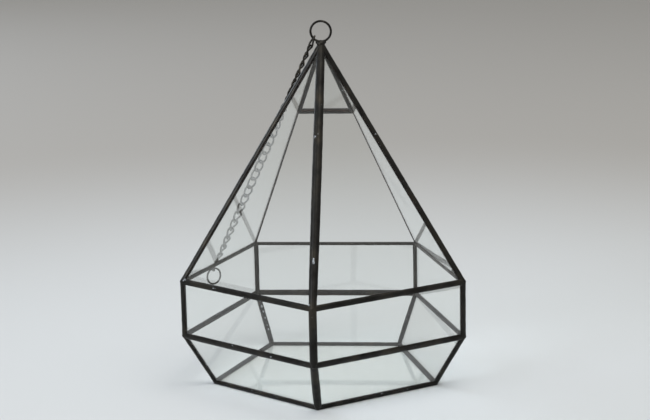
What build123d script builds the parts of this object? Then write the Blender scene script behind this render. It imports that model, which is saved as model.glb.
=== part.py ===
from build123d import *
import os
from math import atan2, cos, degrees, pi, radians, sin, tan

# A five-sided hanging glass house: clear panes edged in copper foil and joined by solder seams,
# open at the back of the roof, with a soldered top ring and a chain that ends in a loose ring.
# +Z is up, one corner points to -Y, and the origin is the middle of the plane it stands on.

# ---- driving dimensions, mm ----
SIDES = 5
GIRDLE_RADIUS = 90.0
BASE_RADIUS = 71.5
LOWER_GIRDLE_Z = 32.8
UPPER_GIRDLE_Z = 67.0
LINTEL_Z = 163.4
APEX_Z = 208.7
GLASS = 2.0
FOIL = 0.15
EDGE_GAP = 0.05  # free space between two foiled edges at the inside corner
OPEN_INSET = 0.5  # from an open edge's line to the cut edge of the glass
FOIL_OVERLAP = 1.1  # how far the foil folds over each face from the cut edge
SOLDER_OVERLAP = 1.25
SOLDER_STEP = 0.25  # height of the solder's side where it ends on the glass
OUTER_CREST = 0.7  # height of the bead over the glass, outside
INNER_BULGE = 0.35  # height of the inside fillet over its own two sides
RIM_CREST = 0.55  # height of the bead over the glass along an open edge
RIM_NOSE = 0.35  # how far that bead passes the edge's line
SAME = 1e-3  # two places closer than this are one
MITRE = 4.0  # extra length on a girdle's bead, cut off again where it meets its neighbour
CAP_RADIUS = 2.75
CAP_RISE = 0.3  # the cap's centre above the apex
RING_WIRE = 1.4
RING_OUTER = 13.8
RING_CENTRE_Z = 216.3
LINKS = 27
LINK_WIRE = 1.2
LINK_LENGTH = 9.05
LINK_WIDTH = 5.4
LINK_GAP = 0.3  # free space between two wires that hang in each other
END_RING_WIRE = 1.15
END_RING_OUTER = 11.4
CHAIN_END_OFF = 7.2  # the chain's straight line ends this far out from the left wall's middle plane
CHAIN_END_SIDE = 4.5  # and this far back from the wall's middle
CHAIN_END_Z = 62.5
LINK_ROLL = 45.0  # links stand crosswise, this far to each side of the flat they make
FIRST_TURN = -45.0  # the first link's extra turn, which brings it square to the top ring's wire
SETTLE_LINKS = 3  # the links over which that turn fades
UPRIGHT_SHARE = 0.55  # the share of the chain that hangs before it starts to lie over on the glass
LAST_TURN = -15.0  # the last link's extra turn

PANELS = ("front_right", "right", "rear", "left", "front_left")
REAR = PANELS.index("rear")


def corner(radius, z, index):
    """A corner of the five-sided outline; corner 0 points to -Y and the rest follow to the left."""
    angle = radians(-90 + 360 / SIDES * index)
    return Vector(radius * cos(angle), radius * sin(angle), z)


def between(low, high, z):
    """The point at height z on the straight line from low to high."""
    return low + (high - low) * ((z - low.Z) / (high.Z - low.Z))


APEX = Vector(0, 0, APEX_Z)
BASE_Z = GLASS / 2 + FOIL
BASE = [corner(BASE_RADIUS, BASE_Z, i) for i in range(SIDES)]
LOWER = [corner(GIRDLE_RADIUS, LOWER_GIRDLE_Z, i) for i in range(SIDES)]
UPPER = [corner(GIRDLE_RADIUS, UPPER_GIRDLE_Z, i) for i in range(SIDES)]
LINTEL = {i: between(UPPER[i], APEX, LINTEL_Z) for i in (REAR, REAR + 1)}


def after(index):
    """The next corner round the outline."""
    return (index + 1) % SIDES


class Pane:
    """One sheet of glass, by its outline on the middle plane and the set-back of each cut edge."""

    def __init__(self, points):
        self.points = points
        self.middle = sum(points, Vector()) / len(points)
        self.normal = (points[1] - points[0]).cross(points[2] - points[0]).normalized()
        x_dir = (points[1] - points[0]).normalized()
        self.plane = Plane(origin=self.middle, x_dir=x_dir, z_dir=self.normal)
        self.insets = []

    def holds(self, point):
        """Whether a point lies on the pane's middle plane."""
        return abs((point - self.middle).dot(self.normal)) < SAME

    def cut(self, others):
        """Sets back each edge by the turn to the pane beyond it, and makes the glass and its foil."""
        for k, start in enumerate(self.points):
            end = self.points[(k + 1) % len(self.points)]
            beyond = [p for p in others if p is not self and p.holds(start) and p.holds(end)]
            self.insets.append(edge_inset(self, beyond[0]) if beyond else OPEN_INSET)
        self.glass = self.slab(0, GLASS / 2)
        wrap = self.slab(-FOIL, GLASS / 2 + FOIL)
        self.foil = wrap - self.glass - self.slab(FOIL_OVERLAP, GLASS)

    def slab(self, extra, half):
        """The glass's outline moved in by extra and thickened by half to each side of the middle plane."""
        flat = [self.plane.to_local_coords(p) for p in self.points]
        into, level = [], []
        for k, start in enumerate(flat):
            along = (flat[(k + 1) % len(flat)] - start).normalized()
            into.append(Vector(-along.Y, along.X))
            level.append(into[k].dot(start) + self.insets[k] + extra)
        corners = []
        for k in range(len(flat)):
            a, b = into[k - 1], into[k]
            spread = a.X * b.Y - a.Y * b.X
            x = (level[k - 1] * b.Y - level[k] * a.Y) / spread
            y = (a.X * level[k] - b.X * level[k - 1]) / spread
            corners.append((x, y))
        return self.plane * extrude(Polygon(*corners, align=None), amount=half, both=True)

    def inward(self, start, end):
        """The direction in the pane that leads away from one of its edges."""
        along = (end - start).normalized()
        side = self.normal.cross(along)
        return side if side.dot(self.middle - start) > 0 else -side


def edge_inset(first, second):
    """From the line where two panes' middle planes meet to their cut edges.

    The foils on the two inside corners then just clear each other."""
    half_turn = radians(first.normal.get_angle(second.normal)) / 2
    return (GLASS / 2 + FOIL) * tan(half_turn) + FOIL + EDGE_GAP


def make_panes():
    """All sheets of glass by node name."""
    panes = {"base_pane": Pane([BASE[i] for i in reversed(range(SIDES))])}
    for i, name in enumerate(PANELS):
        j = after(i)
        panes["lower_pane_" + name] = Pane([BASE[i], BASE[j], LOWER[j], LOWER[i]])
        panes["wall_pane_" + name] = Pane([LOWER[i], LOWER[j], UPPER[j], UPPER[i]])
        if i == REAR:
            panes["roof_pane_rear_gable"] = Pane([LINTEL[i], LINTEL[j], APEX])
        else:
            panes["roof_pane_" + name] = Pane([UPPER[i], UPPER[j], APEX])
    for pane in panes.values():
        pane.cut(panes.values())
    return panes


def seam(start, end, first, second, extra=0.0):
    """A solder bead along one edge between two panes, before the glass is cut out of it.

    The section has an arc outside, over the edge, and one in the inside corner."""
    out = (first.normal + second.normal).normalized()
    plane = Plane(origin=start, x_dir=out, z_dir=(end - start).normalized())
    tips = []
    for pane in (first, second):
        reach = pane.inward(start, end) * (edge_inset(first, second) + SOLDER_OVERLAP)
        rise = pane.normal * (GLASS / 2 + SOLDER_STEP)
        tips.append([plane.to_local_coords(start + reach + rise * s) for s in (1, -1)])
    outer = ThreePointArc(tips[0][0], (GLASS / 2 + OUTER_CREST, 0), tips[1][0])
    inner = ThreePointArc(tips[0][1], (tips[0][1].X - INNER_BULGE, 0), tips[1][1])
    sides = [Line(tip[0], tip[1]) for tip in tips]
    return run_profile(plane, [outer, inner] + sides, start, end, extra)


def rim(start, end, pane, inset, extra=0.0):
    """A solder bead that wraps a pane's open edge, before the glass is cut out of it."""
    plane = Plane(origin=start, x_dir=pane.normal, z_dir=(end - start).normalized())
    reach = pane.inward(start, end)
    step = GLASS / 2 + SOLDER_STEP
    side = start + reach * (inset + SOLDER_OVERLAP)
    tips = [plane.to_local_coords(side + pane.normal * s) for s in (step, -step)]
    crest = GLASS / 2 + RIM_CREST
    crests = [plane.to_local_coords(start + reach * inset + pane.normal * s) for s in (crest, -crest)]
    nose = plane.to_local_coords(start - reach * RIM_NOSE)
    arcs = [ThreePointArc(tip, top, nose) for tip, top in zip(tips, crests)]
    return run_profile(plane, arcs + [Line(*tips)], start, end, extra)


def run_profile(plane, edges, start, end, extra):
    """Extrude a closed section along an edge, and past both of its ends by extra."""
    section = make_face(Curve() + edges)
    length = (end - start).length
    return plane * Pos(0, 0, -extra) * extrude(section, amount=length + 2 * extra, dir=(0, 0, 1))


def wedge(low_corner, high_corner):
    """The space over the base's underside between two upright planes through the middle."""
    far = 3 * GIRDLE_RADIUS
    a = corner(far, 0, low_corner)
    b = corner(far, 0, high_corner)
    return extrude(Polygon((0, 0), (a.X, a.Y), (b.X, b.Y), align=None), amount=2 * APEX_Z, dir=(0, 0, 1))


def torus_ring(plane, outer, wire):
    """A closed ring of round wire."""
    return plane * Torus((outer - wire) / 2, wire / 2)


def oval_link():
    """A link of round wire standing along Z: two half rings joined by straight legs, open along Y."""
    bend = (LINK_WIDTH - LINK_WIRE) / 2
    leg = LINK_LENGTH - LINK_WIDTH
    path = Wire(
        [
            Line((bend, 0, -leg / 2), (bend, 0, leg / 2)),
            ThreePointArc((bend, 0, leg / 2), (0, 0, leg / 2 + bend), (-bend, 0, leg / 2)),
            Line((-bend, 0, leg / 2), (-bend, 0, -leg / 2)),
            ThreePointArc((-bend, 0, -leg / 2), (0, 0, -leg / 2 - bend), (bend, 0, -leg / 2)),
        ]
    )
    section = Plane(origin=(bend, 0, -leg / 2), z_dir=(0, 0, 1)) * Circle(LINK_WIRE / 2)
    return sweep(section, path=path)


def make_seams(panes):
    """Solder beads by node name, each as a list of separate solids."""
    base = panes["base_pane"]
    low = [panes["lower_pane_" + n] for n in PANELS]
    wall = [panes["wall_pane_" + n] for n in PANELS]
    gable = panes["roof_pane_rear_gable"]
    roof = [panes.get("roof_pane_" + n, gable) for n in PANELS]
    cap = Pos(0, 0, APEX_Z + CAP_RISE) * Sphere(CAP_RADIUS)

    def without_glass(bead, *sheets):
        """The bead's one main solid once the glass and the foil are cut out of it."""
        bead -= [solid for sheet in sheets for solid in (sheet.glass, sheet.foil)]
        return max(bead.solids(), key=lambda solid: solid.volume)

    rings = {"base_rim_seams": [], "lower_girdle_seams": [], "upper_girdle_seams": []}
    raw = []
    for i in range(SIDES):
        j = after(i)
        beads = {
            "base_rim_seams": seam(BASE[i], BASE[j], base, low[i], MITRE),
            "lower_girdle_seams": seam(LOWER[i], LOWER[j], low[i], wall[i], MITRE),
            "upper_girdle_seams": seam(UPPER[i], UPPER[j], wall[i], roof[i], MITRE),
        }
        if i == REAR:
            beads["upper_girdle_seams"] = rim(UPPER[i], UPPER[j], wall[i], edge_inset(wall[i], gable), MITRE)
        for name, bead in beads.items():
            bead &= wedge(i, i + 1)
            raw.append(bead)
            near = [p for k in (i - 1, i, j) for p in (low[k], wall[k], roof[k])]
            rings[name].append(without_glass(bead, base, *near))
    names = ("lower_corner_seams", "wall_corner_seams", "roof_corner_seams", "opening_jamb_seams")
    corners = {name: [] for name in names}
    frame = []
    for i in range(SIDES):
        before = (i - 1) % SIDES
        upright = seam(LOWER[i], UPPER[i], wall[before], wall[i])
        pieces = {
            "lower_corner_seams": seam(BASE[i], LOWER[i], low[before], low[i]) - upright,
            "wall_corner_seams": upright,
        }
        foot = UPPER[i]
        if i in LINTEL:
            foot = LINTEL[i]
            beside = roof[before] if i == REAR else roof[i]
            jamb = rim(UPPER[i], foot, beside, edge_inset(beside, gable))
            pieces["opening_jamb_seams"] = jamb - upright
        half = 1 / 2  # of the turn from one corner to the next
        roof_seam = seam(foot, APEX, roof[before], roof[i]) & wedge(i - half, i + half)
        pieces["roof_corner_seams"] = roof_seam - upright
        if i in LINTEL:
            frame += [roof_seam, pieces["opening_jamb_seams"]]
        sheets = [p for k in (before, i) for p in (low[k], wall[k], roof[k])]
        for name, piece in pieces.items():
            corners[name].append(without_glass(piece - raw - [cap], base, *sheets))
    lintel = rim(LINTEL[REAR], LINTEL[REAR + 1], gable, OPEN_INSET) - frame
    lintel = without_glass(lintel, *roof[REAR - 1 : REAR + 2])
    return {**rings, **corners, "opening_lintel_seam": [lintel], "apex_cap": [cap]}


def chain_frame(wall):
    """The chain's start on the top ring's wire, and its direction down the left roof pane."""
    hang = (RING_OUTER - RING_WIRE) / 2 * sin(pi / 4)
    start = Vector(-hang, 0, RING_CENTRE_Z - hang)
    out = wall.normal * (GIRDLE_RADIUS * cos(pi / SIDES) + CHAIN_END_OFF)
    side = wall.normal.cross(Vector(0, 0, 1)) * CHAIN_END_SIDE
    end = Vector(out.X + side.X, out.Y + side.Y, CHAIN_END_Z)
    return start, (end - start).normalized()


def link_centres():
    """Each link's distance along the chain, measured from the top ring's wire."""
    half = (LINK_LENGTH - LINK_WIRE) / 2
    first = half - (RING_WIRE + LINK_WIRE) / 2 - LINK_GAP
    pitch = 2 * half - LINK_WIRE - LINK_GAP
    return [first + pitch * k for k in range(LINKS)]


def roll_of(index, last_turn):
    """A link's turn about the chain: crosswise pairs, turned at the start and again towards the end."""
    first = 1 - min(1, index / SETTLE_LINKS)
    last = max(0, (index + 1) / LINKS - UPRIGHT_SHARE) / (1 - UPRIGHT_SHARE)
    side = -LINK_ROLL if index % 2 == 0 else LINK_ROLL
    return side + FIRST_TURN * first + last_turn * last


def link_places(panes):
    """Each link's place: its middle, with Z down the chain and Y through the link's hole."""
    start, along = chain_frame(panes["wall_pane_left"])
    facing = Plane(origin=start, x_dir=along.cross(Vector(0, 1, 0)).normalized(), z_dir=along)
    glass_normal = facing.to_local_coords(start + panes["roof_pane_left"].normal)
    lie_over = degrees(atan2(glass_normal.Y, glass_normal.X)) - 90
    lie_over = (lie_over + 90) % 180 - 90
    places = []
    for index, distance in enumerate(link_centres()):
        place = Plane(origin=start + along * distance, x_dir=facing.x_dir, z_dir=along)
        places.append(place * Rot(0, 0, roll_of(index, lie_over + LAST_TURN)))
    return places


def end_ring_place(last):
    """The end ring hangs upright from the last link, with the link's hole looking along the ring's wire."""
    hold = (LINK_LENGTH - LINK_WIRE) / 2 - (LINK_WIRE + END_RING_WIRE) / 2 - LINK_GAP
    top = (last * Pos(0, 0, hold)).position
    face = Plane(last).y_dir.cross(Vector(0, 0, 1)).normalized()
    drop = (END_RING_OUTER - END_RING_WIRE) / 2
    return Plane(origin=top - Vector(0, 0, drop), z_dir=face)


def make_chain(panes):
    """The links and the end ring, each a loose solid of its own."""
    shape = oval_link()
    places = link_places(panes)
    pieces = {f"chain_link_{number:02d}": place * shape for number, place in enumerate(places, 1)}
    pieces["end_ring"] = torus_ring(end_ring_place(places[-1]), END_RING_OUTER, END_RING_WIRE)
    return pieces


def write(name, solids):
    """One STEP file for one node."""
    solids = [s for shape in solids for s in shape.solids()]
    shape = solids[0] if len(solids) == 1 else Compound(children=solids)
    shape.label = name
    export_step(shape, f"parts/{name}.step")


os.makedirs("parts", exist_ok=True)
panes = make_panes()
for name, pane in panes.items():
    write(name, [pane.glass])
for tier, prefix in (("base", "base"), ("lower", "lower"), ("wall", "wall"), ("roof", "roof")):
    write(f"{tier}_copper_foils", [pane.foil for name, pane in panes.items() if name.startswith(prefix)])
ring = torus_ring(Plane(origin=(0, 0, RING_CENTRE_Z), z_dir=(0, -1, 0)), RING_OUTER, RING_WIRE)
write("top_ring", [ring])
for name, solids in make_seams(panes).items():
    if name == "apex_cap":
        solids = [solid - ring for solid in solids]
    write(name, solids)
for name, link in make_chain(panes).items():
    write(name, [link])
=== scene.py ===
import math

import bpy
import numpy as np
from mathutils import Matrix, Vector


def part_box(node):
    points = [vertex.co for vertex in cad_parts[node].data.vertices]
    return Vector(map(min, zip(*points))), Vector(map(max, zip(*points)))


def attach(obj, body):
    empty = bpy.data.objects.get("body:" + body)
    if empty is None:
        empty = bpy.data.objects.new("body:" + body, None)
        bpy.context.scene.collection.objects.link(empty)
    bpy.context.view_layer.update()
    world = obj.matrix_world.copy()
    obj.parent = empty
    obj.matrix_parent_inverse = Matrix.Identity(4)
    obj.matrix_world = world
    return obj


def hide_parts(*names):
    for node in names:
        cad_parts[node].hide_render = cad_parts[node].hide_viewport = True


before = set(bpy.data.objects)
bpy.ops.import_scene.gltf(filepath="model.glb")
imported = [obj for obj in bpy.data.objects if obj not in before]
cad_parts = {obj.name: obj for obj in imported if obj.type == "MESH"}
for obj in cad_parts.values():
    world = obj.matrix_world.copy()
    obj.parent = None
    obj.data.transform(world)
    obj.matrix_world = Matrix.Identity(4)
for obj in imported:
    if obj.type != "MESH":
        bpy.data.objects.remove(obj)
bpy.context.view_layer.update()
MM = 0.001

# ---- Camera, floor and light ----
# The house stands on a plain pale paper floor, seen by a long lens from a little above, with wide
# soft cool lights to the left and behind left, like windows, and a neutral one overhead.

CAMERA_PLACE = Vector((0.10507, -1.14016, 0.35982))
CAMERA_TARGET = Vector((0.00025, 0.00004, 0.10540))
CAMERA_ROLL = math.radians(-1.259)
CAMERA_LENS = 105.07
FLOOR_HALF_WIDTH = 8.0
FLOOR_LIGHT_POOL_RADIUS = 0.12  # painted pool of light: the floor colour is palest round the house and a little greyer further out
FLOOR_LIGHT_POOL_EDGE_RADIUS = 0.85


def linear(code):
    """An sRGB hex colour as linear RGB with alpha 1."""
    parts = [int(code[i : i + 2], 16) / 255 for i in (1, 3, 5)]
    return tuple(c / 12.92 if c <= 0.04045 else ((c + 0.055) / 1.055) ** 2.4 for c in parts) + (1.0,)


def new_material(name):
    """An empty node material and its tree, with the output node in place."""
    material = bpy.data.materials.new(name)
    material.use_nodes = True
    tree = material.node_tree
    tree.nodes.clear()
    return material, tree, tree.nodes.new("ShaderNodeOutputMaterial")


def add(tree, kind, settings=None, **links):
    """Adds a node; settings are properties or input values by name, and links feed inputs from sockets."""
    node = tree.nodes.new(kind)
    for key, value in (settings or {}).items():
        if key in node.inputs:
            node.inputs[key].default_value = value
        else:
            setattr(node, key, value)
    for key, socket in links.items():
        name = key.replace("_", " ")
        index = int(key[1:]) if key[0] == "i" and key[1:].isdigit() else name
        tree.links.new(socket, node.inputs[index])
    return node


def grid_faces(rows, columns, wrap_rows=False, wrap_columns=False):
    """Quads of a grid of points numbered row by row, joined round where it wraps."""
    r = np.arange(rows if wrap_rows else rows - 1)
    c = np.arange(columns if wrap_columns else columns - 1)
    r, c = np.meshgrid(r, c, indexing="ij")
    down, across = (r + 1) % rows, (c + 1) % columns
    corners = (r * columns + c, r * columns + across, down * columns + across, down * columns + c)
    return np.stack(corners, axis=-1).reshape(-1, 4)


def make_piece(name, shapes, material, smooth=True):
    """One object from a list of (points, faces) shapes; a face list may mix quads and end caps."""
    points, faces, base = [], [], 0
    for shape_points, shape_faces in shapes:
        points.append(shape_points)
        faces += [[base + i for i in face] for face in shape_faces]
        base += len(shape_points)
    mesh = bpy.data.meshes.new(name)
    mesh.from_pydata(np.concatenate(points).tolist(), [], faces)
    mesh.polygons.foreach_set("use_smooth", np.full(len(mesh.polygons), smooth))
    mesh.materials.append(material)
    mesh.update()
    piece = bpy.data.objects.new(name, mesh)
    bpy.context.scene.collection.objects.link(piece)
    return piece


camera_data = bpy.data.cameras.new("camera")
camera_data.lens = CAMERA_LENS
camera_data.sensor_width = 36.0
camera_data.clip_start = 0.05
camera = bpy.data.objects.new("camera", camera_data)
look = (CAMERA_TARGET - CAMERA_PLACE).normalized()
side = look.cross(Vector((0, 0, 1))).normalized()
upward = side.cross(look)
rolled_side = side * math.cos(CAMERA_ROLL) + upward * math.sin(CAMERA_ROLL)
rolled_up = upward * math.cos(CAMERA_ROLL) - side * math.sin(CAMERA_ROLL)
turn = Matrix((rolled_side, rolled_up, -look)).transposed().to_4x4()
camera.matrix_world = Matrix.Translation(CAMERA_PLACE) @ turn
bpy.context.scene.collection.objects.link(camera)
bpy.context.scene.camera = camera

floor_material, tree, output = new_material("pale_paper_floor")
# Painted pool of light: the floor's colour goes from pale round the house to a darker grey further out.
place = add(tree, "ShaderNodeTexCoord").outputs["Object"]
far = add(tree, "ShaderNodeVectorMath", {"operation": "LENGTH"}, Vector=place).outputs["Value"]
light_pool_fade = add(tree, "ShaderNodeMapRange", {"From Min": FLOOR_LIGHT_POOL_RADIUS, "From Max": FLOOR_LIGHT_POOL_EDGE_RADIUS,
                                        "interpolation_type": "SMOOTHSTEP"}, Value=far)
tint = add(tree, "ShaderNodeMix", {"data_type": "RGBA"}, Factor=light_pool_fade.outputs["Result"])
tint.inputs["A"].default_value = linear("#d6d9db")
tint.inputs["B"].default_value = linear("#b1aeaa")
board = add(tree, "ShaderNodeBsdfPrincipled", {"Roughness": 0.85, "Specular IOR Level": 0.2},
            Base_Color=tint.outputs["Result"])
tree.links.new(board.outputs[0], output.inputs["Surface"])

square = FLOOR_HALF_WIDTH * np.array([[-1, -1, 0], [1, -1, 0], [1, 1, 0], [-1, 1, 0]])
floor = make_piece("floor", [(square, [[0, 1, 2, 3]])], floor_material)


def soft_light(name, place, target, width, height, power, colour):
    """A rectangular soft box aimed at a point."""
    data = bpy.data.lights.new(name, "AREA")
    data.shape = "RECTANGLE"
    data.size = width
    data.size_y = height
    data.energy = power
    data.color = linear(colour)[:3]
    lamp = bpy.data.objects.new(name, data)
    lamp.matrix_world = Matrix.Translation(place) @ (
        (Vector(target) - Vector(place)).to_track_quat("-Z", "Y").to_matrix().to_4x4()
    )
    lamp.visible_camera = False
    lamp.visible_transmission = False
    bpy.context.scene.collection.objects.link(lamp)


soft_light("left_window", (-1.6, -1.5, 1.1), (0, 0, 0.1), 1.0, 1.2, 24.0, "#eaf1fb")
soft_light("back_left_window", (-1.7, 1.3, 1.0), (0, 0, 0.1), 0.9, 1.2, 16.0, "#dde9f8")
soft_light("top_soft_box", (0.4, -0.4, 2.1), (0, 0, 0.1), 1.8, 1.4, 20.0, "#fffdf8")

world = bpy.data.worlds.new("pale_room")
bpy.context.scene.world = world
world.use_nodes = True
world.node_tree.nodes["Background"].inputs["Color"].default_value = linear("#e6e6e3")
world.node_tree.nodes["Background"].inputs["Strength"].default_value = 0.58
bpy.context.scene.view_settings.view_transform = "Standard"

# ---- Glass panes ----
# Sixteen sheets of 2 mm clear float glass, cut by hand and ground at the edges. Clean on both faces,
# with the faint grey-green body of soda-lime glass and a slow ripple that bends what it mirrors.

HOUSE = "house"
RIPPLE_SPACING = 45.0  # mm between the slow waves of the drawn sheet
SMEAR_SPACING = 9.0  # mm between the faint wiping marks


def glass_material():
    """Clear glass: refraction with a light tint, a slow ripple, faint wiping marks in the roughness."""
    material, tree, output = new_material("clear_float_glass")
    place = add(tree, "ShaderNodeTexCoord").outputs["Object"]
    ripple = add(tree, "ShaderNodeTexNoise", {"Scale": 1 / (RIPPLE_SPACING * MM), "Detail": 1.0},
                 Vector=place)
    bump = add(tree, "ShaderNodeBump", {"Strength": 0.12, "Distance": 0.0006}, Height=ripple.outputs["Fac"])
    smear = add(tree, "ShaderNodeTexNoise", {"Scale": 1 / (SMEAR_SPACING * MM), "Detail": 4.0,
                                             "Roughness": 0.65}, Vector=place)
    rough = add(tree, "ShaderNodeMapRange", {"From Min": 0.35, "From Max": 0.75, "To Min": 0.0,
                                             "To Max": 0.035}, Value=smear.outputs["Fac"])
    body = add(tree, "ShaderNodeBsdfPrincipled", {"Base Color": linear("#fbfcfb"), "IOR": 1.52,
                                                  "Transmission Weight": 1.0},
               Roughness=rough.outputs["Result"], Normal=bump.outputs["Normal"])
    clear = add(tree, "ShaderNodeBsdfTransparent", {"Color": linear("#fbfcfb")})
    rays = add(tree, "ShaderNodeLightPath")
    mix = add(tree, "ShaderNodeMixShader", None, i0=rays.outputs["Is Shadow Ray"], i1=body.outputs[0],
              i2=clear.outputs[0])
    tree.links.new(mix.outputs[0], output.inputs["Surface"])
    return material


def refinish(node, material):
    """Gives a kept node one material all over."""
    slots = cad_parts[node].material_slots
    for slot in slots:
        slot.link = "OBJECT"
        slot.material = material


clear_glass = glass_material()
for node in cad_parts:
    if "pane" in node:
        refinish(node, clear_glass)

# ---- Copper foil ----
# Thin self-adhesive copper tape, folded over every cut edge of the glass before soldering.
# It is all but hidden under the solder; a dull pink-brown where it shows through the glass edge.


def foil_material():
    """Tarnished copper: metal with brown blotches and fine creases where the tape was rubbed down."""
    material, tree, output = new_material("tarnished_copper_foil")
    place = add(tree, "ShaderNodeTexCoord").outputs["Object"]
    blotch = add(tree, "ShaderNodeTexNoise", {"Scale": 1 / (6 * MM), "Detail": 3.0}, Vector=place)
    tint = add(tree, "ShaderNodeMix", {"data_type": "RGBA"}, Factor=blotch.outputs["Fac"])
    tint.inputs["A"].default_value = linear("#2c211c")
    tint.inputs["B"].default_value = linear("#4b352b")
    crease = add(tree, "ShaderNodeTexNoise", {"Scale": 1 / (1.2 * MM), "Detail": 2.0}, Vector=place)
    bump = add(tree, "ShaderNodeBump", {"Strength": 0.3, "Distance": 0.0002}, Height=crease.outputs["Fac"])
    metal = add(tree, "ShaderNodeBsdfPrincipled", {"Metallic": 1.0, "Roughness": 0.45},
                Base_Color=tint.outputs["Result"], Normal=bump.outputs["Normal"])
    tree.links.new(metal.outputs[0], output.inputs["Surface"])
    return material


copper = foil_material()
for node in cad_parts:
    if "foil" in node:
        refinish(node, copper)

# ---- Solder seams ----
# Tin-lead solder run by hand along every edge, over the foil, in a low rounded bead outside and a
# fillet inside, then blackened with patina. Width and height wander, and beads swell where they meet.

SIDES = 5
GIRDLE_RADIUS = 90.0 * MM
BASE_RADIUS = 71.5 * MM
GLASS_HALF = 1.0 * MM
FOIL = 0.15 * MM
BASE_HEIGHT = GLASS_HALF + FOIL
LOWER_HEIGHT = 32.8 * MM
UPPER_HEIGHT = 67.0 * MM
LINTEL_HEIGHT = 163.4 * MM
APEX_HEIGHT = 208.7 * MM
EDGE_GAP = 0.05 * MM
OPEN_INSET = 0.5 * MM  # from an open edge's line to the cut edge of the glass
OVERLAP = 1.15 * MM  # mean width of the solder on the glass, from the cut edge
OVERLAP_WANDER = 0.10 * MM
BEAD_CREST = 0.60 * MM  # mean height over the glass, outside
FILLET_BULGE = 0.32 * MM  # height of the inside fillet over its own two sides
RIM_CREST = 0.42 * MM
RIM_NOSE = 0.28 * MM
SUNK = 0.03 * MM  # the solder's back lies this far into the foil's place on the glass
STEP_ALONG = 1.1 * MM
STEPS_ROUND = 17


def corner(radius, height, index):
    """A corner of the five-sided outline; corner 0 points to -Y and the rest run anticlockwise."""
    angle = math.radians(-90 + 360 / SIDES * index)
    return np.array([radius * math.cos(angle), radius * math.sin(angle), height])


def unit(vector):
    """A vector, or each row of an array of vectors, at length one."""
    return vector / np.linalg.norm(vector, axis=-1, keepdims=True)


APEX = np.array([0.0, 0.0, APEX_HEIGHT])
BASE = [corner(BASE_RADIUS, BASE_HEIGHT, i) for i in range(SIDES)]
LOWER = [corner(GIRDLE_RADIUS, LOWER_HEIGHT, i) for i in range(SIDES)]
UPPER = [corner(GIRDLE_RADIUS, UPPER_HEIGHT, i) for i in range(SIDES)]
REAR = 2
share = (LINTEL_HEIGHT - UPPER_HEIGHT) / (APEX_HEIGHT - UPPER_HEIGHT)
LINTEL = {i: UPPER[i] + (APEX - UPPER[i]) * share for i in (REAR, REAR + 1)}


def sheet(points):
    """A pane as its outward normal and middle."""
    points = np.array(points)
    middle = points.mean(axis=0)
    normal = unit(np.cross(points[1] - points[0], points[2] - points[0]))
    return normal, middle


def inward(pane, start, end):
    """The direction in a pane that leads away from one of its edges."""
    normal, middle = pane
    across = np.cross(normal, unit(end - start))
    return across if across @ (middle - start) > 0 else -across


def edge_inset(first, second):
    """From the line where two panes meet to their cut edges.

    It is the half thickness with foil times tan of half the turn, plus the foil and a small gap."""
    half_turn = math.acos(first[0] @ second[0]) / 2
    return (GLASS_HALF + FOIL) * math.tan(half_turn) + FOIL + EDGE_GAP


def wander(along, seed, lengths, size):
    """A slow random wave: a sum of sines of the given lengths with seeded phases, about size high."""
    rng = np.random.default_rng(seed)
    phases = rng.uniform(0, 2 * math.pi, len(lengths))
    waves = [np.sin(2 * math.pi * along / length + phase) for length, phase in zip(lengths, phases)]
    return size * np.mean(waves, axis=0)


def carry(start, end, rings):
    """Places closed cross-sections, (steps, round, 3) offsets, along an edge and caps both ends."""
    steps, around = rings.shape[:2]
    stations = start + np.linspace(0, 1, steps)[:, None] * (end - start)
    points = (stations[:, None, :] + rings).reshape(-1, 3)
    faces = grid_faces(steps, around, wrap_columns=True).tolist()
    caps = [list(range(around))[::-1], list(range((steps - 1) * around, steps * around))]
    return outward(points, faces + caps)


def outward(points, faces):
    """Turns every face over if the closed shape's volume comes out negative."""
    volume = 0.0
    for size in {len(face) for face in faces}:
        block = np.array([face for face in faces if len(face) == size])
        fan = points[block]
        for k in range(1, size - 1):
            volume += np.einsum("ij,ij->i", fan[:, 0], np.cross(fan[:, k], fan[:, k + 1])).sum()
    return points, faces if volume > 0 else [face[::-1] for face in faces]


CREST_WANDER = 0.08 * MM
CREST_RIPPLE = 0.04 * MM
RIM_WANDER = 0.07 * MM
LONG_WAVES = (0.041, 0.023, 0.013, 0.0071)  # m from crest to crest
SHORT_WAVES = (0.0093, 0.0057, 0.0037)
SWELL = 0.12  # a bead is this much higher where it meets others
SWELL_LENGTH = 4.0 * MM
DENT = 0.05  # a lump's dents, as a share of its radius


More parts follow.
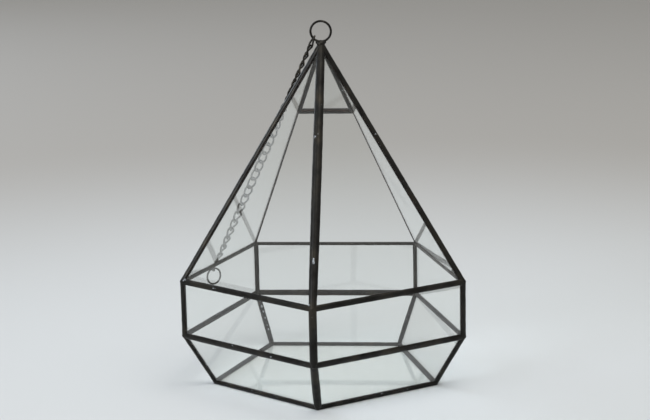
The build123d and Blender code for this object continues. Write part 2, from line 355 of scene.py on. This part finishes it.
def bead(start, end, first, second, seed, spread=0.0):
    """The outside bead and the inside fillet of one seam, each a closed lens on the two panes.

    Across the seam, the outside height over the chord falls as cos(t)^1.2 of the sideways angle t,
    and the fillet's as cos(t)^2; crest and both sides wander along the edge. Extra solder, spread,
    makes the outside bead that much wider to each side in the middle of its length."""
    steps = max(8, int(np.linalg.norm(end - start) / STEP_ALONG))
    along = np.linspace(0, np.linalg.norm(end - start), steps)
    out = unit(first[0] + second[0])
    turn = np.linspace(-math.pi / 2, math.pi / 2, STEPS_ROUND)
    ends = np.exp(-((along / SWELL_LENGTH) ** 2)) + np.exp(-(((along[-1] - along) / SWELL_LENGTH) ** 2))
    crest = GLASS_HALF + BEAD_CREST * (1 + SWELL * ends) + wander(along, seed, LONG_WAVES, CREST_WANDER)
    crest += wander(along, seed + 1, SHORT_WAVES, CREST_RIPPLE)
    belly = spread * np.sin(math.pi * np.linspace(0, 1, steps)) ** 0.5
    half_turn_cosine = math.sqrt((1 + first[0] @ second[0]) / 2)
    lenses = []
    for sign, power, more in ((1, 1.2, belly), (-1, 2.0, 0 * belly)):
        tips = []
        for k, pane in enumerate((first, second)):
            reach = edge_inset(first, second) + OVERLAP + more
            reach += wander(along, seed + 2 + k, LONG_WAVES, OVERLAP_WANDER)
            tips.append(inward(pane, start, end) * reach[:, None] + pane[0] * sign * GLASS_HALF)
        middle = (tips[0] + tips[1]) / 2
        half = (tips[1] - tips[0]) / 2
        if sign > 0:
            lift = out * (crest - middle @ out)[:, None]
        else:
            lift = np.tile(-out * FILLET_BULGE, (steps, 1))
        curve = middle[:, None] + half[:, None] * np.sin(turn)[None, :, None]
        curve = curve + lift[:, None] * (np.abs(np.cos(turn)) ** power)[None, :, None]
        groove = np.tile(sign * out * (GLASS_HALF - SUNK) / half_turn_cosine, (steps, 1))
        sunk = [(tip + groove) / 2 - sign * pane[0] * SUNK for tip, pane in zip(tips, (first, second))]
        ring = np.concatenate([curve, sunk[1][:, None], groove[:, None], sunk[0][:, None]], axis=1)
        lenses.append(carry(start, end, ring))
    return lenses


def rim_bead(start, end, pane, inset, seed):
    """A bead that wraps an open edge of one pane, from its outer face round the edge to the inner.

    With t from -1 to 1 round the edge, it stands back by reach - (reach + nose)(1 - |t|^2.2), and its
    height over the pane's middle plane grows as 1 - (1 - |t|)^2.5 and sinks to the glass at its sides."""
    steps = max(8, int(np.linalg.norm(end - start) / STEP_ALONG))
    along = np.linspace(0, np.linalg.norm(end - start), steps)
    away = inward(pane, start, end)
    t = np.linspace(-1, 1, 2 * STEPS_ROUND)
    crest = (RIM_CREST + wander(along, seed, LONG_WAVES, RIM_WANDER))[:, None]
    reach = (inset + OVERLAP + wander(along, seed + 1, LONG_WAVES, OVERLAP_WANDER))[:, None]
    depth = reach - (reach + RIM_NOSE) * (1 - np.abs(t) ** 2.2)
    height = (GLASS_HALF + crest) * (1 - (1 - np.abs(t)) ** 2.5) - crest * np.abs(t) ** 6
    curve = away * depth[..., None] + pane[0] * (np.sign(t) * height)[..., None]
    back = [away * inset + pane[0] * side * (GLASS_HALF - SUNK) for side in (1, -1)]
    back = np.tile(np.array(back), (steps, 1, 1))
    return [carry(start, end, np.concatenate([curve, back], axis=1))]


def knot(place, radius, seed, squash=(1, 1, 1)):
    """A small lump of solder: a sphere on a latitude grid, dented by a slow wave in direction."""
    polar = np.linspace(0, math.pi, 19)[1:-1]
    turn = np.linspace(0, 2 * math.pi, 28, endpoint=False)
    p, a = np.meshgrid(polar, turn, indexing="ij")
    ball = np.stack([np.sin(p) * np.cos(a), np.sin(p) * np.sin(a), np.cos(p)], axis=-1).reshape(-1, 3)
    ball = np.concatenate([ball, [[0, 0, 1], [0, 0, -1]]])
    rng = np.random.default_rng(seed)
    way = unit(rng.normal(size=(4, 3)))
    dent = sum(np.cos(3 * (ball @ w) + k) for k, w in enumerate(way)) / 4
    points = place + ball * radius * (1 + DENT * dent)[:, None] * np.array(squash)
    rows, columns = len(polar), len(turn)
    faces = grid_faces(rows, columns, wrap_columns=True).tolist()
    last = rows * columns
    faces += [[last, k, (k + 1) % columns] for k in range(columns)]
    foot = (rows - 1) * columns
    faces += [[last + 1, foot + (k + 1) % columns, foot + k] for k in range(columns)]
    return outward(points, faces)


def solder_material():
    """Blackened solder: a soft dark metal, brown in places, rubbed silver on a few high spots."""
    material, tree, output = new_material("black_patina_solder")
    place = add(tree, "ShaderNodeTexCoord").outputs["Object"]
    cloud = add(tree, "ShaderNodeTexNoise", {"Scale": 1 / (14 * MM), "Detail": 4.0, "Roughness": 0.6},
                Vector=place)
    tone = add(tree, "ShaderNodeValToRGB", None, Fac=cloud.outputs["Fac"])
    ramp = tone.color_ramp
    ramp.elements[0].position, ramp.elements[0].color = 0.32, linear("#1d1b19")
    ramp.elements[1].position, ramp.elements[1].color = 0.70, linear("#3a362f")
    ramp.elements.new(0.5).color = linear("#2a2927")
    grain = add(tree, "ShaderNodeTexNoise", {"Scale": 1 / (1.1 * MM), "Detail": 5.0, "Roughness": 0.7},
                Vector=place)
    fleck = add(tree, "ShaderNodeTexNoise", {"Scale": 1 / (3.2 * MM), "Detail": 3.0, "Roughness": 0.55},
                Vector=place)
    rubbed = add(tree, "ShaderNodeMapRange", {"From Min": 0.70, "From Max": 0.76},
                 Value=fleck.outputs["Fac"])
    tint = add(tree, "ShaderNodeMix", {"data_type": "RGBA"}, Factor=rubbed.outputs["Result"],
               A=tone.outputs["Color"])
    tint.inputs["B"].default_value = linear("#a9adb2")
    rough = add(tree, "ShaderNodeMapRange", {"To Min": 0.26, "To Max": 0.46}, Value=grain.outputs["Fac"])
    height = add(tree, "ShaderNodeMath", {"operation": "ADD"}, i0=grain.outputs["Fac"],
                 i1=fleck.outputs["Fac"])
    bump = add(tree, "ShaderNodeBump", {"Strength": 0.35, "Distance": 0.00012}, Height=height.outputs[0])
    metal = add(tree, "ShaderNodeBsdfPrincipled", {"Metallic": 0.85}, Base_Color=tint.outputs["Result"],
                Roughness=rough.outputs["Result"], Normal=bump.outputs["Normal"])
    tree.links.new(metal.outputs[0], output.inputs["Surface"])
    return material


dark_solder = solder_material()
base_sheet = sheet(BASE[::-1])
low_sheets, wall_sheets, roof_sheets = [], [], []
for i in range(SIDES):
    j = (i + 1) % SIDES
    low_sheets.append(sheet([BASE[i], BASE[j], LOWER[j], LOWER[i]]))
    wall_sheets.append(sheet([LOWER[i], LOWER[j], UPPER[j], UPPER[i]]))
    roof_sheets.append(sheet([UPPER[i], UPPER[j], APEX]))

WIDE_GIRDLE = 0.3 * MM  # extra solder to each side on the lower girdle and lower corners
WIDE_FRONT = 0.75 * MM  # and on the front roof corner
KNOT_RADIUS = 1.8 * MM
seams = {name: [] for name in ("base_rim_seams", "lower_girdle_seams", "upper_girdle_seams",
                               "lower_corner_seams", "wall_corner_seams", "roof_corner_seams",
                               "opening_jamb_seams", "opening_lintel_seam")}
for i in range(SIDES):
    j, before = (i + 1) % SIDES, (i - 1) % SIDES
    seed = 100 * i
    seams["base_rim_seams"] += bead(BASE[i], BASE[j], base_sheet, low_sheets[i], seed)
    seams["lower_girdle_seams"] += bead(LOWER[i], LOWER[j], low_sheets[i], wall_sheets[i], seed + 10,
                                        WIDE_GIRDLE)
    if i == REAR:
        sill = edge_inset(wall_sheets[i], roof_sheets[i])
        seams["upper_girdle_seams"] += rim_bead(UPPER[i], UPPER[j], wall_sheets[i], sill, seed + 20)
    else:
        seams["upper_girdle_seams"] += bead(UPPER[i], UPPER[j], wall_sheets[i], roof_sheets[i], seed + 20)
    seams["lower_corner_seams"] += bead(BASE[i], LOWER[i], low_sheets[before], low_sheets[i], seed + 30,
                                        WIDE_GIRDLE)
    seams["wall_corner_seams"] += bead(LOWER[i], UPPER[i], wall_sheets[before], wall_sheets[i], seed + 40)
    foot = LINTEL.get(i, UPPER[i])
    wide = WIDE_FRONT if i == 0 else 0.0
    seams["roof_corner_seams"] += bead(foot, APEX, roof_sheets[before], roof_sheets[i], seed + 50, wide)
    if i in LINTEL:
        kept, missing = (before, i) if i == REAR else (i, before)
        jamb = edge_inset(roof_sheets[kept], roof_sheets[missing])
        seams["opening_jamb_seams"] += rim_bead(UPPER[i], foot, roof_sheets[kept], jamb, seed + 60)
    for name, place in (("base_rim_seams", BASE[i]), ("lower_girdle_seams", LOWER[i]),
                        ("upper_girdle_seams", UPPER[i])):
        lump = knot(place, KNOT_RADIUS, seed + 70)
        lump[0][:, 2] = np.maximum(lump[0][:, 2], 0.0)
        seams[name].append(lump)
seams["opening_lintel_seam"] += rim_bead(LINTEL[REAR], LINTEL[REAR + 1], roof_sheets[REAR], OPEN_INSET, 700)

for name, shapes in seams.items():
    for points, faces in shapes:
        points[:, 2] = np.maximum(points[:, 2], 0.0)
    piece = make_piece("soldered_" + name, shapes, dark_solder)
    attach(piece, HOUSE)
    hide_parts(name)

# ---- Apex cap ----
# The five roof seams run together in a knob of solder, which also holds the foot of the top ring.
# The knob is built up by hand in two or three drops, so it is lumpy and taller than it is wide.

CAP_DROP_RADIUS = 2.5 * MM
RIGHT_DROP_RADIUS = 1.45 * MM
LEFT_DROP_RADIUS = 1.4 * MM
cap_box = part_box("apex_cap")
cap_middle = (np.array(cap_box[0]) + np.array(cap_box[1])) / 2
drops = [
    knot(cap_middle - np.array([0, 0, 0.3 * MM]), CAP_DROP_RADIUS, 801, (1, 1, 0.95)),
    knot(cap_middle + np.array([1.6 * MM, 0, 0.7 * MM]), RIGHT_DROP_RADIUS, 802, (1.15, 0.85, 0.9)),
    knot(cap_middle + np.array([-1.7 * MM, 0, 0.6 * MM]), LEFT_DROP_RADIUS, 803, (1.15, 0.85, 0.9)),
]
cap = make_piece("soldered_apex_cap", drops, dark_solder)
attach(cap, HOUSE)
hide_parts("apex_cap")

# ---- Solder drips ----
# Small runs and spatters of solder that set on the finished beads, where the patina didn't take
# or has rubbed off, so they stay a bright silver-grey.


def bright_solder_material():
    """Bare solder: pale soft metal, a little frosty, with grey patches of old patina."""
    material, tree, output = new_material("bare_bright_solder")
    place = add(tree, "ShaderNodeTexCoord").outputs["Object"]
    patch = add(tree, "ShaderNodeTexNoise", {"Scale": 1 / (1.6 * MM), "Detail": 3.0}, Vector=place)
    tint = add(tree, "ShaderNodeMix", {"data_type": "RGBA"}, Factor=patch.outputs["Fac"])
    tint.inputs["A"].default_value = linear("#75797d")
    tint.inputs["B"].default_value = linear("#d5d9dd")
    bump = add(tree, "ShaderNodeBump", {"Strength": 0.3, "Distance": 0.0001}, Height=patch.outputs["Fac"])
    metal = add(tree, "ShaderNodeBsdfPrincipled", {"Metallic": 0.95, "Roughness": 0.28},
                Base_Color=tint.outputs["Result"], Normal=bump.outputs["Normal"])
    tree.links.new(metal.outputs[0], output.inputs["Surface"])
    return material


def spatters(low, high, out, places, radius, stretch, seed):
    """Knots of solder at given shares of the way from low to high, off the edge's line along out."""
    return [
        knot(low + (high - low) * share + out, radius * size, seed + k, (1, 1, stretch))
        for k, (share, size) in enumerate(places)
    ]


front = unit(roof_sheets[SIDES - 1][0] + roof_sheets[0][0])
DRIP_RADIUS = 0.75 * MM
BEAD_DROP_RADIUS = 0.6 * MM
FLECK_RADIUS = 0.68 * MM
GIRDLE_FLECK_RADIUS = 0.5 * MM
crest = GLASS_HALF + BEAD_CREST
drips = spatters(UPPER[0], APEX, front * crest, [(0.166, 1.0), (0.174, 0.8)],
                 DRIP_RADIUS, 2.0, 900)
sideways = np.array([-2.0 * MM, 0, 0])
drips += spatters(UPPER[0], APEX, front * (crest - BEAD_DROP_RADIUS) + sideways, [(0.012, 1.0)],
                  BEAD_DROP_RADIUS, 1.0, 910)
inner = -unit(low_sheets[REAR][0] + low_sheets[REAR + 1][0]) * (GLASS_HALF + 0.85 * MM)
flecks = [(0.28, 1.0), (0.36, 0.7), (0.5, 0.8), (0.62, 0.9), (0.72, 1.1), (0.84, 1.3)]
drips += spatters(BASE[REAR + 1], LOWER[REAR + 1], inner, flecks, FLECK_RADIUS, 1.5, 920)
girdle = unit(wall_sheets[SIDES - 1][0] + roof_sheets[SIDES - 1][0]) * (crest - 0.2 * MM)
drips += spatters(UPPER[SIDES - 1], UPPER[0], girdle, [(0.26, 1.0), (0.275, 0.7)],
                  GIRDLE_FLECK_RADIUS, 0.8, 930)
drip_piece = make_piece("solder_drips", drips, bright_solder_material())
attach(drip_piece, HOUSE)

# ---- Rings ----
# The top ring and the chain's loose end ring are bent from round iron wire with butted ends and
# blackened with the same patina as the seams, satin, with paler rubbed places.


def wire_material(name, dark, pale):
    """Blackened round wire: dark satin metal with rubbed paler spots and fine drawing marks."""
    material, tree, output = new_material(name)
    place = add(tree, "ShaderNodeTexCoord").outputs["Object"]
    cloud = add(tree, "ShaderNodeTexNoise", {"Scale": 1 / (2.4 * MM), "Detail": 4.0}, Vector=place)
    worn = add(tree, "ShaderNodeMapRange", {"From Min": 0.48, "From Max": 0.72}, Value=cloud.outputs["Fac"])
    tint = add(tree, "ShaderNodeMix", {"data_type": "RGBA"}, Factor=worn.outputs["Result"])
    tint.inputs["A"].default_value = linear(dark)
    tint.inputs["B"].default_value = linear(pale)
    marks = add(tree, "ShaderNodeTexNoise", {"Scale": 1 / (0.5 * MM), "Detail": 3.0}, Vector=place)
    rough = add(tree, "ShaderNodeMapRange", {"To Min": 0.28, "To Max": 0.5}, Value=marks.outputs["Fac"])
    bump = add(tree, "ShaderNodeBump", {"Strength": 0.25, "Distance": 0.00006}, Height=marks.outputs["Fac"])
    metal = add(tree, "ShaderNodeBsdfPrincipled", {"Metallic": 0.9}, Base_Color=tint.outputs["Result"],
                Roughness=rough.outputs["Result"], Normal=bump.outputs["Normal"])
    tree.links.new(metal.outputs[0], output.inputs["Surface"])
    return material


ring_wire = wire_material("blackened_ring_wire", "#24221f", "#4c4943")
refinish("top_ring", ring_wire)
refinish("end_ring", ring_wire)

# ---- Chain ----
# Small curb chain: each link is a closed oval of iron wire twisted a quarter turn from end to end,
# so that the links lie flat in a row. Each one is loose on its neighbours and rides on its own body.

LINK_WIRE = 1.2 * MM
LINK_LENGTH = 9.05 * MM
LINK_WIDTH = 5.4 * MM
LINK_STEPS = 72
WIRE_STEPS = 14
BUTT_DEPTH = 0.16  # how far the wire narrows at its butted ends, as a share of its radius
BUTT_WIDTH = 0.05  # radians round the oval
links = sorted(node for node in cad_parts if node.startswith("chain_link"))
boxes = {node: np.array(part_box(node)) for node in links}
centres = np.array([boxes[node].mean(axis=0) for node in links])
down = unit(centres[-1] - centres[0])
facing = unit(np.cross(down, [0, 1, 0]))
roof_normal = roof_sheets[3][0]
flat_turn = math.atan2(roof_normal @ np.cross(down, facing), roof_normal @ facing) - math.pi / 2
flat_turn = (flat_turn + math.pi / 2) % math.pi - math.pi / 2
LAST_TURN = math.radians(-15)
UPRIGHT_SHARE = 0.55
QUARTER = math.pi / 4  # half of a link's twist
FACE_ON_LINK = 12  # the row of links has turned its flat side to the front here
TURNING_LINKS = 6  # and turns over this many links before it


def curb_link(centre, top, bottom):
    """A round wire carried round an oval whose sides turn about the chain from angle top to bottom.

    The oval's half width is b sin t (1 + 0.66 cos^2 t)^0.5 and its half length a cos t."""
    t = np.linspace(0, 2 * math.pi, LINK_STEPS, endpoint=False)
    half_long = (LINK_LENGTH - LINK_WIRE) / 2
    half_wide = (LINK_WIDTH - LINK_WIRE) / 2
    lengthwise = -half_long * np.cos(t)
    sideways = half_wide * np.sin(t) * np.sqrt(1 + 0.66 * np.cos(t) ** 2)
    turn = top + (bottom - top) * (lengthwise / half_long + 1) / 2
    across = np.cos(turn)[:, None] * facing + np.sin(turn)[:, None] * np.cross(down, facing)
    line = centre + lengthwise[:, None] * down + sideways[:, None] * across
    forward = unit(np.roll(line, -1, axis=0) - np.roll(line, 1, axis=0))
    level = np.cross(down, across)
    level = unit(level - (level * forward).sum(axis=1, keepdims=True) * forward)
    other = np.cross(forward, level)
    round_wire = np.linspace(0, 2 * math.pi, WIRE_STEPS, endpoint=False)
    joint = 1 - BUTT_DEPTH * np.exp(-((t - math.pi / 2) / BUTT_WIDTH) ** 2)
    radius = (LINK_WIRE / 2 * joint)[:, None, None]
    offsets = np.cos(round_wire)[None, :, None] * level[:, None]
    offsets = offsets + np.sin(round_wire)[None, :, None] * other[:, None]
    points = (line[:, None] + radius * offsets).reshape(-1, 3)
    return outward(points, grid_faces(LINK_STEPS, WIRE_STEPS, True, True).tolist())


chain_wire = wire_material("blackened_chain_wire", "#2c2925", "#5e5950")
for index, node in enumerate(links):
    lie_over = max(0, (index + 1) / len(links) - UPRIGHT_SHARE) / (1 - UPRIGHT_SHARE)
    edge_on = min(1, max(0, (FACE_ON_LINK - index) / TURNING_LINKS))
    flat = (flat_turn + LAST_TURN) * lie_over + 2 * QUARTER * edge_on
    top = 2 * QUARTER if index == 0 else flat + QUARTER
    bottom = flat - QUARTER
    piece = make_piece(f"curb_{node}", [curb_link(centres[index], top, bottom)], chain_wire)
    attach(piece, node)
    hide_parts(node)
